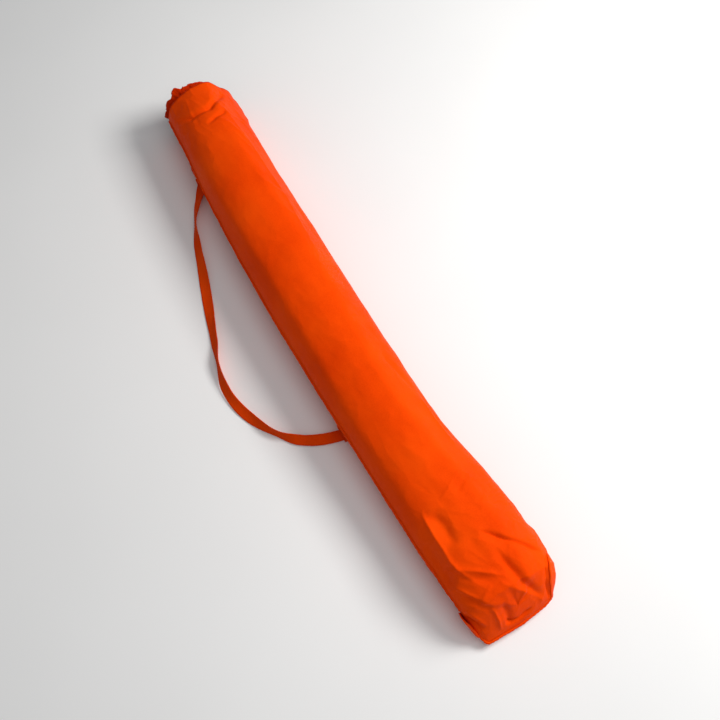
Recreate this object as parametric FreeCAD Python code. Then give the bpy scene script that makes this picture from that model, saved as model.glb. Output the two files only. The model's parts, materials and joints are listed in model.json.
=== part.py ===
import FreeCAD, Part
import math
import os
from FreeCAD import Vector

# A windsock and its telescopic pole, packed in their drawstring carry bag, which lies on the floor.
# Millimetres. +X runs along the bag from the sewn base to the drawn mouth, +Z is up, the floor is z = 0,
# and the origin is on the floor under the middle of the bag. The shoulder strap lies on the +Y side.

# ---- driving dimensions -------------------------------------------------------------------------
END_X, MOUTH_X = -587.0, 576.0   # the sewn edge of the base and the frill round the mouth
CLOTH = 1.2                  # thickness the nylon is modelled at, seams and wrinkles included
BASE_X = -500.0              # where the pillow-shaped base begins
RIM_X = 540.0                # where the gathered shoulder begins
NECK_X = 551.0               # where the shoulder meets the drawcord channel
STATION_STEP = 45.0          # spacing of the cross-sections that the tube is ruled between

# x, half width, underside height, top height, sideways centre: the bag's hand-fitted profile.
# Where the bag lies on the floor its sections dip under it by UNDER, and the solid is trimmed flat there.
UNDER = -0.4
PROFILE = [
    (-580.0, 60.0, 5.5, 33.0, -6.0),
    (-571.0, 75.0, 1.8, 56.0, -12.0),
    (-560.0, 79.5, 0.5, 73.0, -14.0),
    (-545.0, 83.5, UNDER, 90.0, -14.5),
    (-500.0, 86.0, UNDER, 103.0, -12.0),
    (-400.0, 85.0, UNDER, 109.0, -3.5),
    (-250.0, 75.0, UNDER, 117.0, 12.0),
    (-50.0, 75.0, UNDER, 122.0, 20.0),
    (150.0, 75.5, UNDER, 126.0, 22.5),
    (350.0, 71.0, UNDER, 129.0, 21.0),
    (540.0, 65.0, UNDER, 130.0, 17.0),
    (545.0, 58.0, 7.0, 124.0, 19.0),
    (549.0, 46.0, 17.0, 108.0, 22.5),
    (551.0, 35.0, 24.0, 94.0, 26.0),
]
SIDE_POWER_LOW = 2.6         # superellipse powers of the section's lower and upper halves
SIDE_POWER_HIGH = 2.1
CORNER_ANGLE = 60.0          # where the flat underside begins, degrees below the widest level
WIDEST_SHARE = 0.45          # height of the widest level as a share of the section's height
ANGLE_STEP = 10.0

# the mast, the drawn mouth and everything turned about them share this line
AXIS_Y, AXIS_Z = 26.0, 58.0
HOLE_RADIUS = 30.0           # what stays open when the cloth is bunched up by the drawcord
HEM_RADIUS = 37.0
HEM_LENGTH = 11.6
FRILL_RADIUS = 51.0

# the strap: 20 wide flat webbing made of the bag's own cloth
STRAP_WIDTH, STRAP_THICK = 20.0, 1.6
STRAP_LIFT = 0.2
PATCH_UPPER_X, PATCH_LOWER_X = 426.0, -180.0
PATCH_WIDTH = 26.0
STRAP_ROUTE = [
    (425.0, 74.0), (405.0, 86.0), (379.0, 106.0), (342.0, 129.0), (293.0, 147.0), (240.0, 161.0),
    (165.0, 184.0), (92.0, 205.0), (46.0, 220.0), (5.0, 229.0), (-35.0, 226.0), (-72.0, 214.0),
    (-107.0, 197.0), (-139.0, 173.0), (-160.0, 145.0), (-172.0, 113.0), (-177.0, 88.0), (-179.0, 74.0),
]

# the drawcord and its lock
CORD = 3.0
CORD_APART = 4.4             # the two ends leave the hem side by side, this far apart
LOCK_Y = -25.2
LOCK_RADIUS, LOCK_LOW, LOCK_HIGH = 7.5, 45.0, 65.0
BUTTON_RADIUS, BUTTON_TRAVEL = 5.5, 2.4
SLOT_WIDTH, SLOT_LOW, SLOT_HIGH = 8.4, 54.0, 59.6
TAIL_START = -38.0
TAIL_ROUTE = [(TAIL_START, 58.0), (-48.0, 58.0), (-55.5, 50.5), (-57.0, 37.0), (-56.0, 23.0), (-56.5, 9.4)]

# the mast's three tubes: outer diameter, inner diameter, low end, high end
OUTER_TUBE = (30.0, 27.4, -410.0, 540.0)
MIDDLE_TUBE = (25.0, 22.6, -452.0, 500.0)
INNER_TUBE = (20.0, 17.8, -492.0, 498.0)
RUNNING = 0.05               # radial clearance of what slides or turns
BUSH_LENGTH = 25.0
SPIKE_ROD = 12.0

# the rolled windsock, wrapped round the mast
ROLL_Y, ROLL_Z = 31.0, 49.5
ROLL_WIDE, ROLL_HIGH = 46.0, 45.5
ROLL_LOW_X, ROLL_HIGH_X = -430.0, 500.0
ROLL_BORE = 20.5
HOOP_DIAMETER, HOOP_WIRE = 350.0, 4.0
HOOP_FOLDED_WIDTH = 34.0

os.makedirs("parts", exist_ok=True)


# ---- helpers ------------------------------------------------------------------------------------
def save(name, shape):
    """Writes one sub-part, after checking that it is made of closed solids."""
    if not shape.Solids or not shape.isValid():
        raise ValueError(name + " is not a valid solid")
    shape.exportStep("parts/" + name + ".step")
    print("%-18s %9.1f mm3  %d solid(s)" % (name, shape.Volume, len(shape.Solids)))


def one(shape):
    """The single solid of a boolean's result, or all of them as a compound."""
    return shape.Solids[0] if len(shape.Solids) == 1 else Part.makeCompound(shape.Solids)


def along_x(radius, low, high, y=AXIS_Y, z=AXIS_Z):
    """A cylinder about a line along X."""
    return Part.makeCylinder(radius, high - low, Vector(low, y, z), Vector(1, 0, 0))


def sleeve(outer, inner, low, high, y=AXIS_Y, z=AXIS_Z):
    """A tube about a line along X, from its outer and inner radius."""
    bore = along_x(inner, low - 1.0, high + 1.0, y, z)
    return one(along_x(outer, low, high, y, z).cut(bore))


def slope(rows, index, column):
    """Slope of a profile column at a row, level at both ends of the list."""
    if index in (0, len(rows) - 1):
        return 0.0
    before, after = rows[index - 1], rows[index + 1]
    return (after[column] - before[column]) / (after[0] - before[0])


def profile_at(x):
    """The bag's profile at x: a smooth curve through the rows of PROFILE."""
    for index in range(len(PROFILE) - 1):
        if x <= PROFILE[index + 1][0]:
            break
    start, end = PROFILE[index], PROFILE[index + 1]
    span = end[0] - start[0]
    t = (x - start[0]) / span
    values = []
    for column in range(1, 5):
        rise = end[column] - start[column]
        if rise == 0.0 or not BASE_X <= start[0] < RIM_X:
            values.append(start[column] + rise * t)
            continue
        out_slope = slope(PROFILE, index, column) * span
        in_slope = slope(PROFILE, index + 1, column) * span
        bend = (out_slope - rise) * (1.0 - t) - (in_slope - rise) * t
        values.append(start[column] + rise * t + t * (1.0 - t) * bend)
    return values


def signed_power(value, power):
    return math.copysign(abs(value) ** power, value)


def skin(x, angle, lift=0.0):
    """A point of the bag's section at x. The angle is counted from the +Y side up over the top.
    lift moves the whole section outward, or inward when it is negative."""
    half, low, high, centre = profile_at(x)
    half, low, high = half + lift, low - lift, high + lift
    middle = low + WIDEST_SHARE * (high - low)
    turn = math.radians(angle)
    if 0.0 <= angle <= 180.0:
        power = 2.0 / SIDE_POWER_HIGH
        reach = high - middle
    else:
        power = 2.0 / SIDE_POWER_LOW
        reach = (middle - low) / math.sin(math.radians(CORNER_ANGLE)) ** power
    y = centre + half * signed_power(math.cos(turn), power)
    z = middle + reach * signed_power(math.sin(turn), power)
    return Vector(x, y, z)


def section(x, lift):
    """The closed section at x: one smooth curve over the top and a straight line along the underside."""
    steps = int(round((180.0 + 2.0 * CORNER_ANGLE) / ANGLE_STEP))
    points = [skin(x, -CORNER_ANGLE + ANGLE_STEP * i, lift) for i in range(steps + 1)]
    over = Part.BSplineCurve()
    over.interpolate(points)
    under = Part.LineSegment(points[-1], points[0])
    return Part.Wire([over.toShape(), under.toShape()])


def ruled(stations, lift):
    return Part.makeLoft([section(x, lift) for x in stations], True, True)


def spread(low, high):
    """Evenly spaced x values from low to high, no further apart than STATION_STEP."""
    count = max(1, int(math.ceil((high - low) / STATION_STEP)))
    return [low + (high - low) * i / count for i in range(count + 1)]


def turned(points):
    """A ring about the mast's line from a closed profile of (x, radius) points."""
    corners = [Vector(x, AXIS_Y, AXIS_Z + radius) for x, radius in points]
    face = Part.Face(Part.makePolygon(corners + corners[:1]))
    return face.revolve(Vector(0, AXIS_Y, AXIS_Z), Vector(1, 0, 0), 360)


def rounded_path(points, name):
    """Straight runs joined by tangent arcs, each as large as its two runs allow. Prints the radii."""
    edges, radii, start = [], [], points[0]
    for i in range(1, len(points) - 1):
        back, ahead = points[i - 1] - points[i], points[i + 1] - points[i]
        shorter = min(back.Length, ahead.Length)
        back.normalize()
        ahead.normalize()
        turn = math.pi - back.getAngle(ahead)
        radius = 0.45 * shorter / math.tan(turn / 2.0)
        reach = 0.45 * shorter
        first, last = points[i] + back * reach, points[i] + ahead * reach
        inward = back + ahead
        inward.normalize()
        middle = points[i] + inward * (radius / math.cos(turn / 2.0) - radius)
        edges.append(Part.LineSegment(start, first).toShape())
        edges.append(Part.Arc(first, middle, last).toShape())
        radii.append(round(radius, 1))
        start = last
    edges.append(Part.LineSegment(start, points[-1]).toShape())
    wire = Part.Wire(edges)
    print(name, "length %.1f, radii %s" % (wire.Length, radii))
    return wire


def swept(wire, profile, name, area):
    """A constant section carried along a path, with its volume compared with section times length."""
    solid = wire.makePipeShell([profile], True, False)
    print(name, "volume over section times length: %.4f" % (solid.Volume / (area * wire.Length)))
    return solid


# ---- the bag ------------------------------------------------------------------------------------
def bag_shell():
    base_rows = [row[0] for row in PROFILE if row[0] < BASE_X]
    rim_rows = [row[0] for row in PROFILE if row[0] > RIM_X]
    outer = {
        "bag_base": base_rows + [BASE_X],
        "bag_body": spread(BASE_X, RIM_X),
        "mouth_shoulder": [RIM_X] + rim_rows,
    }
    length = MOUTH_X - END_X
    below = Part.makeBox(length, length, 50.0, Vector(END_X, -length / 2.0, -50.0))
    for name, stations in outer.items():
        inner = list(stations)
        if name == "bag_base":
            inner[0] = inner[0] + CLOTH
        outside = ruled(stations, 0.0).cut(below)
        inside = ruled(inner, -CLOTH)
        save(name, one(outside.cut(inside)))


def strip_on_skin(stations, angles, gap, thicknesses):
    """A strip that follows the cloth just outside it, with its own thickness at each station."""
    rows = []
    for x, thick in zip(stations, thicknesses):
        inner = [skin(x, angle, gap) for angle in angles]
        outer = [skin(x, angle, gap + thick) for angle in reversed(angles)]
        rows.append(Part.makePolygon(inner + outer + inner[:1]))
    return Part.makeLoft(rows, True, True)


def seams():
    """The lengthwise seam's welt, the sewn edge across the base and its two folded corners."""
    stations = spread(BASE_X, RIM_X)
    save("side_seam", strip_on_skin(stations, [4.0, 8.0], 0.3, [1.4] * len(stations)))
    low, high = END_X, PROFILE[0][0] - 0.1
    half, under, over, centre = profile_at(PROFILE[0][0])
    edge = Part.makeBox(high - low, 2.0 * half, 4.0, Vector(low, centre - half, (under + over) / 2.0 - 2.0))
    outermost = [e for e in edge.Edges if e.BoundBox.XMax < low + 1.0]
    upright = [e for e in outermost if e.BoundBox.ZLength > 1.0]
    save("base_seam", edge.makeFillet(6.0, upright))
    ear_x = [-577.0, -571.0, -560.0, -545.0, -530.0]
    ear_thick = [0.8, 2.4, 4.0, 3.4, 0.8]
    steps = [-15.0, -10.0, -5.0, 0.0, 5.0, 10.0, 15.0]
    save("dog_ear_left", strip_on_skin(ear_x, steps, 0.8, ear_thick))
    save("dog_ear_right", strip_on_skin(ear_x, [180.0 + step for step in steps], 0.8, ear_thick))


def mouth():
    """The drawcord channel with its eyelet, and the frill of cloth beyond it."""
    low, high = NECK_X + 0.8, NECK_X + 0.8 + HEM_LENGTH
    outer = turned([(low, HOLE_RADIUS), (high, HOLE_RADIUS), (high, HEM_RADIUS), (low, HEM_RADIUS)])
    wall = CLOTH
    cavity = turned([
        (low + wall, HOLE_RADIUS + wall), (high - wall, HOLE_RADIUS + wall),
        (high - wall, HEM_RADIUS - wall), (low + wall, HEM_RADIUS - wall),
    ])
    middle = (low + high) / 2.0
    hole = Part.makeCylinder(5.0, 12.0, Vector(middle, AXIS_Y - HEM_RADIUS - 4.0, AXIS_Z), Vector(0, 1, 0))
    save("mouth_hem", one(outer.cut(cavity).cut(hole)))
    flange_y = AXIS_Y - HEM_RADIUS - 1.1
    flange = Part.makeCylinder(7.0, 1.0, Vector(middle, flange_y, AXIS_Z), Vector(0, 1, 0))
    barrel = Part.makeCylinder(4.95, 3.4, Vector(middle, flange_y, AXIS_Z), Vector(0, 1, 0))
    through = Part.makeCylinder(4.5, 6.0, Vector(middle, flange_y - 1.0, AXIS_Z), Vector(0, 1, 0))
    save("cord_eyelet", one(flange.fuse(barrel).cut(through)))
    start = high + 0.2
    frill = turned([
        (start, HOLE_RADIUS + 0.4), (MOUTH_X, FRILL_RADIUS - CLOTH),
        (MOUTH_X, FRILL_RADIUS), (start, HOLE_RADIUS + 1.8),
    ])
    save("mouth_frill", frill)
    return middle


# ---- the shoulder strap -------------------------------------------------------------------------
def strap_patch(name, x):
    """The sewn-down end of the strap: it comes down the lower flank and turns out along the floor."""
    angles = [-10.0, -20.0, -30.0, -40.0, -50.0]
    inner = [skin(x, angle, 0.8) for angle in angles]
    outer = [skin(x, angle, 0.8 + STRAP_THICK) for angle in angles[:-1]]
    top = STRAP_LIFT + STRAP_THICK
    foot_y = inner[-1].y
    foot = [
        Vector(x, foot_y, STRAP_LIFT), Vector(x, foot_y + 12.0, STRAP_LIFT),
        Vector(x, foot_y + 12.0, top), Vector(x, foot_y + 4.5, top),
    ]
    corners = inner + foot + outer[::-1]
    for corner in corners:
        corner.x = x - PATCH_WIDTH / 2.0
    face = Part.Face(Part.makePolygon(corners + corners[:1]))
    save(name, face.extrude(Vector(PATCH_WIDTH, 0, 0)))


def shoulder_strap():
    strap_patch("strap_patch_upper", PATCH_UPPER_X)
    strap_patch("strap_patch_lower", PATCH_LOWER_X)
    level = STRAP_LIFT + STRAP_THICK / 2.0
    points = [Vector(x, y, level) for x, y in STRAP_ROUTE]
    path = rounded_path(points, "shoulder_strap")
    along = (points[1] - points[0]).normalize()
    side = along.cross(Vector(0, 0, 1)) * (STRAP_WIDTH / 2.0)
    up = Vector(0, 0, STRAP_THICK / 2.0)
    corners = [points[0] + side + up, points[0] - side + up, points[0] - side - up, points[0] + side - up]
    profile = Part.makePolygon(corners + corners[:1])
    save("shoulder_strap", swept(path, profile, "shoulder_strap", STRAP_WIDTH * STRAP_THICK))


# ---- the drawcord and its lock ------------------------------------------------------------------
def drawcord(ring_x):
    """The loop in the hem with its two straight ends, and the two tails that hang from them."""
    loop_radius = (HOLE_RADIUS + HEM_RADIUS) / 2.0
    loop = Part.makeTorus(loop_radius, CORD / 2.0, Vector(ring_x, AXIS_Y, AXIS_Z), Vector(1, 0, 0))
    loop_side = AXIS_Y - loop_radius
    for side in (-1, 1):
        x = ring_x + side * CORD_APART / 2.0
        start = Vector(x, TAIL_START, AXIS_Z)
        end = Part.makeCylinder(CORD / 2.0, loop_side - TAIL_START, start, Vector(0, 1, 0))
        loop = loop.fuse(end)
    save("drawcord", one(loop))
    for side, name in ((-1, "cord_tail_a"), (1, "cord_tail_b")):
        x = ring_x + side * CORD_APART / 2.0
        points = [Vector(x, y, z) for y, z in TAIL_ROUTE]
        path = rounded_path(points, name)
        profile = Part.Wire(Part.makeCircle(CORD / 2.0, points[0], Vector(0, 1, 0)))
        save(name, swept(path, profile, name, math.pi * CORD * CORD / 4.0))
    end_y, end_z = TAIL_ROUTE[-1]
    bell = Part.makeCone(4.8, 4.2, end_z - 0.3, Vector(ring_x, end_y, 0.3), Vector(0, 0, 1))
    save("cord_end", bell)


def cord_lock(ring_x):
    """A barrel lock: a sprung plunger pinches both cord ends between its slot and the barrel's."""
    def slot(low, high):
        corner = Vector(ring_x - SLOT_WIDTH / 2.0, LOCK_Y - 15.0, low)
        return Part.makeBox(SLOT_WIDTH, 30.0, high - low, corner)

    centre = Vector(ring_x, LOCK_Y, LOCK_LOW)
    up = Vector(0, 0, 1)
    bore_floor = LOCK_LOW + 1.5
    plunger_low = bore_floor + 7.0
    barrel = Part.makeCylinder(LOCK_RADIUS, LOCK_HIGH - LOCK_LOW, centre, up)
    bore = Part.makeCylinder(BUTTON_RADIUS, 30.0, Vector(ring_x, LOCK_Y, bore_floor), up)
    save("lock_barrel", one(barrel.cut(bore).cut(slot(SLOT_LOW, SLOT_HIGH))))
    cap_low = LOCK_HIGH + BUTTON_TRAVEL + 0.1
    plunger_foot = Vector(ring_x, LOCK_Y, plunger_low)
    shaft = Part.makeCylinder(BUTTON_RADIUS - RUNNING, cap_low - plunger_low, plunger_foot, up)
    cap = Part.makeCylinder(6.6, 2.4, Vector(ring_x, LOCK_Y, cap_low), up)
    cap = cap.makeFillet(0.8, [e for e in cap.Edges if e.BoundBox.ZMin > cap_low + 2.3])
    pinch = slot(SLOT_LOW + BUTTON_TRAVEL, SLOT_HIGH + BUTTON_TRAVEL)
    save("lock_button", one(shaft.fuse(cap).cut(pinch)))
    wire_radius = 0.45
    height = plunger_low - bore_floor - 2.0 * wire_radius - 0.1
    start_z = bore_floor + wire_radius + 0.05
    helix = Part.makeHelix(height / 4.0, height, 4.4)
    helix.translate(Vector(ring_x, LOCK_Y, start_z))
    section_circle = Part.makeCircle(wire_radius, Vector(ring_x + 4.4, LOCK_Y, start_z), Vector(0, 1, 0))
    spring = Part.Wire(helix.Edges).makePipeShell([Part.Wire(section_circle)], True, True)
    save("lock_spring", spring)


# ---- the mast -----------------------------------------------------------------------------------
def tube(name, size):
    outer, inner, low, high = size
    save(name, sleeve(outer / 2.0, inner / 2.0, low, high))


def twist_clamp(prefix, size, inside_size, ferrule_wall, ferrule_length, collar_wall):
    """Ferrule, split collet and fluted twist collar on the low end of one tube, gripping the tube inside."""
    tube_radius, tube_low = size[0] / 2.0, size[2]
    grip_radius = inside_size[0] / 2.0
    ferrule_radius = tube_radius + ferrule_wall
    ferrule_low = tube_low - 6.0
    ferrule = along_x(ferrule_radius, ferrule_low, tube_low + ferrule_length)
    ferrule = ferrule.cut(along_x(tube_radius, tube_low, tube_low + ferrule_length + 1.0))
    ferrule = ferrule.cut(along_x(grip_radius + 0.1, ferrule_low - 1.0, tube_low + 1.0))
    save(prefix + "_ferrule", one(ferrule))
    collet_high = ferrule_low - 0.2
    collet_low = collet_high - 7.0
    bore = grip_radius + RUNNING
    collet = turned([
        (collet_low, bore), (collet_low, bore + 1.2), (collet_high - 1.0, ferrule_radius - 0.6),
        (collet_high, ferrule_radius - 0.6), (collet_high, bore),
    ])
    slit = Part.makeBox(20.0, 2.0, 40.0, Vector(collet_low - 5.0, AXIS_Y - 1.0, AXIS_Z))
    save(prefix + "_collet", one(collet.cut(slit)))
    collar_low = collet_low - 4.0
    collar_high = tube_low + ferrule_length - 8.0
    collar_radius = ferrule_radius + collar_wall
    hollow_radius = ferrule_radius + RUNNING
    collar = turned([
        (collar_low, grip_radius + 0.1), (collar_low, collar_radius - 1.0), (collar_low + 1.0, collar_radius),
        (collar_high - 1.0, collar_radius), (collar_high, collar_radius - 1.0), (collar_high, hollow_radius),
        (collet_high, hollow_radius), (collet_low - 0.6, bore + 1.8), (collet_low - 0.6, grip_radius + 0.1),
    ])
    for i in range(12):
        turn = math.radians(30.0 * i)
        reach = collar_radius + 1.5
        y, z = AXIS_Y + reach * math.cos(turn), AXIS_Z + reach * math.sin(turn)
        collar = collar.cut(along_x(2.2, collar_low + 4.0, collar_high + 1.0, y, z))
    save(prefix + "_collar", one(collar))


def slide_bush(name, size, bore_radius):
    """The plastic bush on the high end of a tube, running in the next tube out."""
    outer, _, _, high = size
    save(name, sleeve(bore_radius - RUNNING, outer / 2.0, high - BUSH_LENGTH, high))


def mast():
    tube("outer_tube", OUTER_TUBE)
    tube("middle_tube", MIDDLE_TUBE)
    tube("inner_tube", INNER_TUBE)
    twist_clamp("lower", OUTER_TUBE, MIDDLE_TUBE, 1.5, 30.0, 2.5)
    twist_clamp("upper", MIDDLE_TUBE, INNER_TUBE, 1.5, 18.0, 2.5)
    slide_bush("middle_bush", MIDDLE_TUBE, OUTER_TUBE[1] / 2.0)
    slide_bush("inner_bush", INNER_TUBE, MIDDLE_TUBE[1] / 2.0)
    high = OUTER_TUBE[3]
    save("foot_ferrule", sleeve(OUTER_TUBE[0] / 2.0 + 3.0, OUTER_TUBE[0] / 2.0, high - 35.0, high))


def ground_spike():
    """The spike, stored point inward: its plug fits the foot of the outer tube."""
    foot = OUTER_TUBE[3]
    rod_radius = SPIKE_ROD / 2.0
    plug_low = foot - 32.0
    plug = along_x(OUTER_TUBE[1] / 2.0 - RUNNING, plug_low, foot + 0.2)
    flange = along_x(17.0, foot + 0.2, foot + 6.2)
    socket = along_x(rod_radius, plug_low - 1.0, foot - 8.0)
    save("spike_plug", one(plug.fuse(flange).cut(socket)))
    tip_start = foot - 365.0
    rod = along_x(rod_radius, tip_start, foot - 8.0)
    tip = Part.makeCone(rod_radius, 0.6, 25.0, Vector(tip_start, AXIS_Y, AXIS_Z), Vector(-1, 0, 0))
    save("spike_rod", one(rod.fuse(tip)))


def swivel_head():
    """The head on the inner tube: a plugged-in spindle, and a sleeve with an eye that turns on it."""
    top = INNER_TUBE[2]
    bore = INNER_TUBE[1] / 2.0
    spindle_radius = 4.0
    plug = along_x(bore, top, top + 27.0).fuse(along_x(10.0, top - 3.2, top))
    save("head_plug", one(plug.cut(along_x(spindle_radius, top - 4.0, top + 28.0))))
    spindle_end = top - 49.0
    save("swivel_spindle", along_x(spindle_radius, spindle_end, top + 18.0))
    running = spindle_radius + RUNNING
    washers = [sleeve(8.0, running, top - 5.2, top - 3.4), sleeve(8.0, running, top - 40.4, top - 38.8)]
    save("spindle_washers", Part.makeCompound(washers))
    nut_low, nut_high = top - 47.0, top - 40.6
    corners = []
    for i in range(7):
        turn = math.radians(60.0 * i)
        corners.append(Vector(nut_low, AXIS_Y + 7.5 * math.cos(turn), AXIS_Z + 7.5 * math.sin(turn)))
    nut = Part.Face(Part.makePolygon(corners)).extrude(Vector(nut_high - nut_low, 0, 0))
    save("spindle_nut", one(nut.cut(along_x(spindle_radius, nut_low - 1.0, nut_high + 1.0))))
    bush_radius = 6.0
    sleeve_high, sleeve_low = top - 7.0, top - 37.0
    bushes = []
    for face, inward in ((sleeve_high, -1), (sleeve_low, 1)):
        body_ends = sorted((face, face + inward * 8.0))
        flange_ends = sorted((face, face - inward * 1.6))
        body = along_x(bush_radius, body_ends[0], body_ends[1])
        flange = along_x(8.0, flange_ends[0], flange_ends[1])
        bushes.append(one(body.fuse(flange).cut(along_x(running, face - 12.0, face + 12.0))))
    save("swivel_bushes", Part.makeCompound(bushes))
    body = along_x(10.0, sleeve_low, sleeve_high)
    eye_x = (sleeve_low + sleeve_high) / 2.0
    eye = Part.makeTorus(4.2, 1.5, Vector(eye_x, AXIS_Y - 14.2, AXIS_Z), Vector(0, 0, 1))
    save("swivel_sleeve", one(body.fuse(eye).cut(along_x(bush_radius, sleeve_low - 1.0, sleeve_high + 1.0))))


# ---- the windsock -------------------------------------------------------------------------------
def oval(low, high, grow):
    """An elliptical prism about the roll's own line."""
    centre = Vector(low, ROLL_Y, ROLL_Z)
    wide = Vector(low, ROLL_Y + ROLL_WIDE + grow, ROLL_Z)
    tall = Vector(low, ROLL_Y, ROLL_Z + ROLL_HIGH + grow)
    face = Part.Face(Part.Wire(Part.Ellipse(wide, tall, centre).toShape()))
    return face.extrude(Vector(high - low, 0, 0))


def folded_hoop(wire_radius):
    """The sprung throat hoop, pressed into a long loop with the round hoop's own perimeter."""
    bend = HOOP_FOLDED_WIDTH / 2.0
    run = (math.pi * HOOP_DIAMETER - 2.0 * math.pi * bend) / 2.0
    low, z, y = -40.0, 86.0, ROLL_Y
    a, b = Vector(low, y - bend, z), Vector(low + run, y - bend, z)
    c, d = Vector(low + run, y + bend, z), Vector(low, y + bend, z)
    edges = [
        Part.LineSegment(a, b).toShape(), Part.Arc(b, Vector(low + run + bend, y, z), c).toShape(),
        Part.LineSegment(c, d).toShape(), Part.Arc(d, Vector(low - bend, y, z), a).toShape(),
    ]
    circle = Part.Wire(Part.makeCircle(wire_radius, a, Vector(1, 0, 0)))
    return Part.Wire(edges).makePipeShell([circle], True, False)


def windsock():
    roll = oval(ROLL_LOW_X, ROLL_HIGH_X, 0.0)
    roll = roll.cut(along_x(ROLL_BORE, ROLL_LOW_X - 1.0, ROLL_HIGH_X + 1.0))
    roll = roll.cut(folded_hoop(HOOP_WIRE / 2.0 + 0.3))
    save("sock_roll", one(roll))
    save("throat_hoop", folded_hoop(HOOP_WIRE / 2.0))
    for name, x in (("tie_strap_a", -300.0), ("tie_strap_b", 300.0)):
        band = oval(x - 12.5, x + 12.5, 2.1).cut(oval(x - 13.5, x + 13.5, 0.3))
        save(name, one(band))
    ring_y, ring_z = ROLL_Y, 24.0
    ring_radius, ring_wire = 12.0, 1.6
    hole_x = ROLL_LOW_X - 11.0
    ring_centre = Vector(hole_x - ring_radius, ring_y, ring_z)
    ring = Part.makeTorus(ring_radius, ring_wire, ring_centre, Vector(0, 0, 1))
    save("bridle_ring", ring)
    tab = Part.makeBox(16.0, 6.0, 6.0, Vector(ROLL_LOW_X - 16.05, ring_y - 3.0, ring_z - 3.0))
    hole = Part.makeCylinder(2.2, 10.0, Vector(hole_x, ring_y - 5.0, ring_z), Vector(0, 1, 0))
    save("bridle_tab", one(tab.cut(hole)))


bag_shell()
seams()
HEM_MIDDLE = mouth()
shoulder_strap()
drawcord(HEM_MIDDLE)
cord_lock(HEM_MIDDLE)
mast()
ground_spike()
swivel_head()
windsock()
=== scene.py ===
import bpy
import json
from math import asin, atan2, copysign, cos, exp, pi, radians, sin, sqrt, tau
import numpy as np
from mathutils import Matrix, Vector, noise


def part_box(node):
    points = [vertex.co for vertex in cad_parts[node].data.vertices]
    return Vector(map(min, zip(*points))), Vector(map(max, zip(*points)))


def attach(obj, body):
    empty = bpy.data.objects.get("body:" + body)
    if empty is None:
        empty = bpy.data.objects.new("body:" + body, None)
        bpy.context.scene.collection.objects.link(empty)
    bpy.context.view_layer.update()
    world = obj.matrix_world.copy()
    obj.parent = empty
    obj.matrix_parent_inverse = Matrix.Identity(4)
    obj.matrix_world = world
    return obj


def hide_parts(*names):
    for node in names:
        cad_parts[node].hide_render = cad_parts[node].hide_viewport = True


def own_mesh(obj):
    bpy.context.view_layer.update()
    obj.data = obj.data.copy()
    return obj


# A windsock and its telescopic pole, packed in an orange nylon drawstring bag that lies on the floor.
# Metres. +X runs from the sewn base to the drawn mouth, +Z is up, and the shoulder strap lies on the +Y side.

UP = Vector((0.0, 0.0, 1.0))

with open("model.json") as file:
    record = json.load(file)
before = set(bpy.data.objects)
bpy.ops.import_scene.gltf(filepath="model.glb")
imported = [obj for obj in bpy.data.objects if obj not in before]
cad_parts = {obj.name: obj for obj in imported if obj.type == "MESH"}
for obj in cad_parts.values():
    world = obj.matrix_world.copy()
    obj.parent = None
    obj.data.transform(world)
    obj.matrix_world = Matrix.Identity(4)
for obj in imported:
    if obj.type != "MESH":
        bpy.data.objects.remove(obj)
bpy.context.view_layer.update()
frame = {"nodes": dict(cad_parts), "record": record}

# ---- driving dimensions -------------------------------------------------------------------------
BODY_LOW, BODY_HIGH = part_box("bag_body")
FRILL_LOW, FRILL_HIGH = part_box("mouth_frill")
HEM_LOW, HEM_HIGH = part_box("mouth_hem")
TUBE_LOW, TUBE_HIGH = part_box("outer_tube")
ROLL_LOW, ROLL_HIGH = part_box("sock_roll")
BASE_X, RIM_X = BODY_LOW.x, BODY_HIGH.x
MAST_Y = (TUBE_LOW.y + TUBE_HIGH.y) / 2
MAST_Z = (TUBE_LOW.z + TUBE_HIGH.z) / 2

# x, half width, underside height, top height, sideways centre of the bag's cross-section
PROFILE = [
    (-0.5975, 0.0290, 0.0110, 0.0140, 0.0200),
    (-0.5950, 0.0430, 0.0085, 0.0195, 0.0110),
    (-0.5910, 0.0580, 0.0065, 0.0270, -0.0020),
    (-0.5860, 0.0665, 0.0045, 0.0350, -0.0075),
    (-0.5790, 0.0705, 0.0030, 0.0450, -0.0090),
    (-0.5710, 0.0750, 0.0018, 0.0560, -0.0120),
    (-0.5600, 0.0795, 0.0005, 0.0730, -0.0140),
    (-0.5450, 0.0835, 0.0000, 0.0900, -0.0145),
    (-0.5000, 0.0860, 0.0000, 0.1030, -0.0120),
    (-0.4000, 0.0850, 0.0000, 0.1090, -0.0035),
    (-0.2500, 0.0750, 0.0000, 0.1170, 0.0120),
    (-0.0500, 0.0750, 0.0000, 0.1220, 0.0200),
    (0.1500, 0.0755, 0.0000, 0.1260, 0.0225),
    (0.3500, 0.0710, 0.0000, 0.1290, 0.0210),
    (0.5400, 0.0675, 0.0000, 0.1300, 0.0145),
]
SIDE_POWER_LOW = 2.6
SIDE_POWER_HIGH = 2.1
CORNER_ANGLE = 60
WIDEST_SHARE = 0.45
CLOTH = 0.0007
COLUMNS = 240                # cloth points round a section
# turns the wrinkles out of the bag's line
SLANT = np.array([[0.8, -0.6, 0.0], [0.6, 0.8, 0.0], [0.0, 0.0, 1.0]])
SEAM_ANGLE = 3               # of the lengthwise seam, in degrees above the widest level, on the +Y side

STRAP_WIDTH, STRAP_THICK = 0.020, 0.0016
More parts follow.
